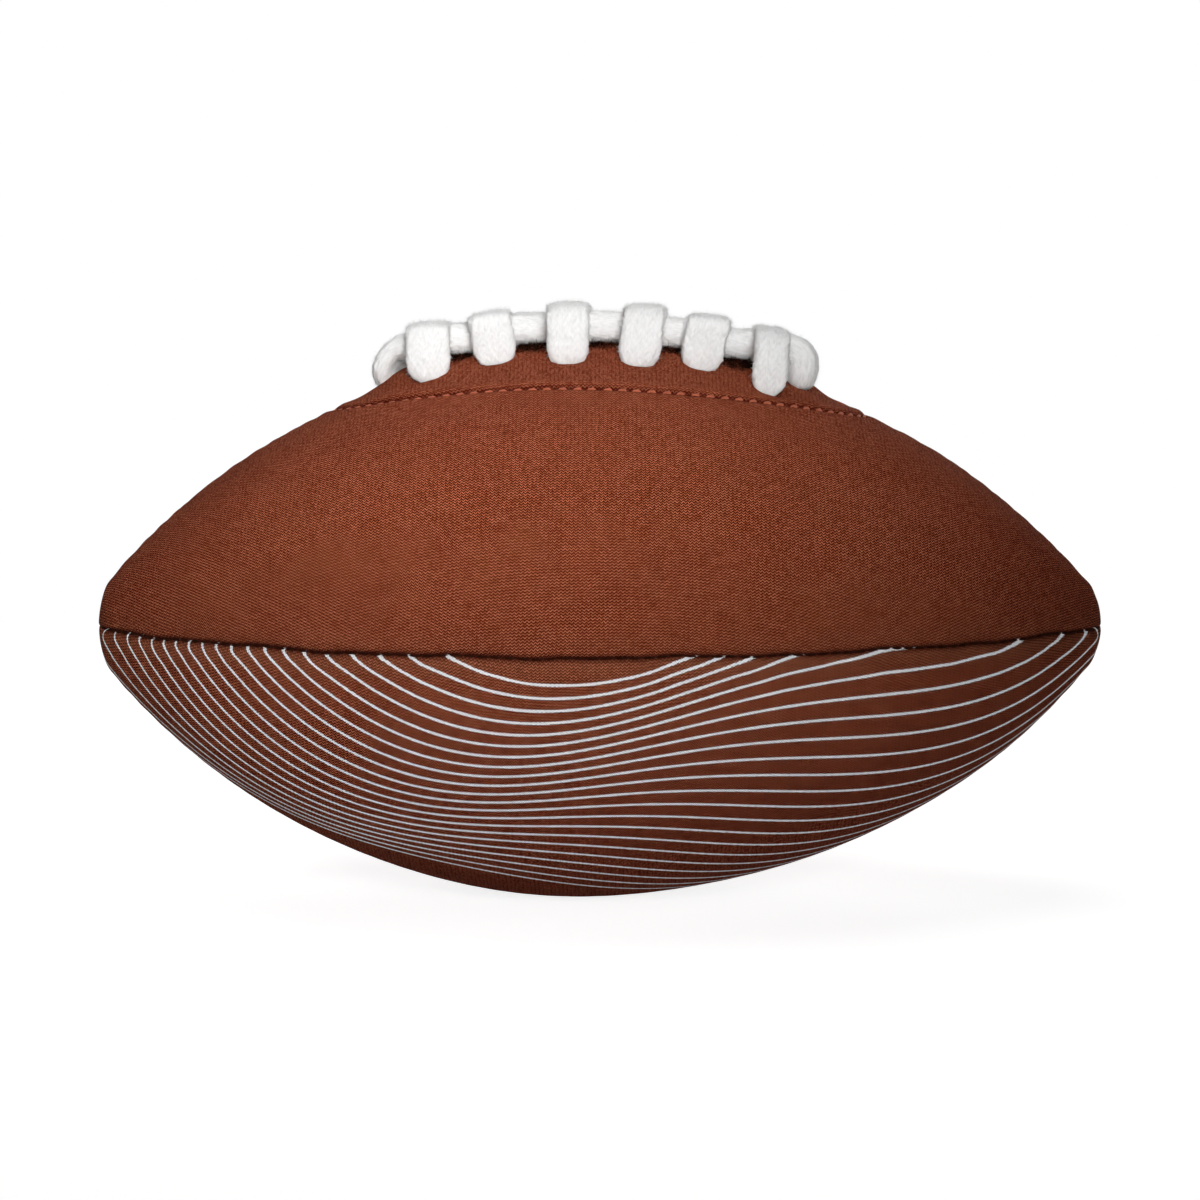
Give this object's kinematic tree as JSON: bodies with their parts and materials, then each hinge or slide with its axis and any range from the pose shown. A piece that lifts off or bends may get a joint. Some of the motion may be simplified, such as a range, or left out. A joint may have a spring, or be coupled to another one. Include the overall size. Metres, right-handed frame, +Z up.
{
  "type": "american football",
  "caption": "Soft laced play football: a sewn neoprene cover in pointed panels over an inflatable rubber bladder with a needle valve, for throwing and catching.",
  "frame": {"origin": "lowest point of the ball, under the middle of its length, where it lies on a surface with the lacing up", "axes": "+X along the ball from the lace's loop end to the other tip, +Y from the printed front to the back, +Z up through the lacing"},
  "size_m": [0.2298, 0.124, 0.1369],
  "materials": {
    "bladder_rubber": "matt black rubber",
    "valve_rubber": "matt moulded rubber",
    "slug_rubber": "soft matt rubber",
    "cover_knit": "brown jersey knit on foam rubber",
    "printed_knit": "brown jersey knit on foam rubber, printed with pale lines",
    "seam_thread": "dark brown spun thread",
    "patch_cloth": "dark brown webbing",
    "stitch_thread": "reddish brown twisted thread",
    "tongue_cloth": "dark brown felt",
    "lace_cotton": "white braided cotton with a slight fuzz"
  },
  "bodies": {
    "root": {"bladder": "bladder_rubber", "valve_stem": "valve_rubber", "valve_slug": "slug_rubber", "upper_front_panel": "cover_knit", "upper_rear_panel": "cover_knit", "lower_front_panel": "printed_knit", "lower_rear_panel": "cover_knit", "front_seam_thread": "seam_thread", "bottom_seam_thread": "seam_thread", "rear_seam_thread": "seam_thread", "left_top_seam_thread": "seam_thread", "right_top_seam_thread": "seam_thread", "front_lace_patch": "patch_cloth", "rear_lace_patch": "patch_cloth", "front_patch_stitching": "stitch_thread", "rear_patch_stitching": "stitch_thread", "lace_tongue": "tongue_cloth", "lace": "lace_cotton"}
  },
  "joints": []
}
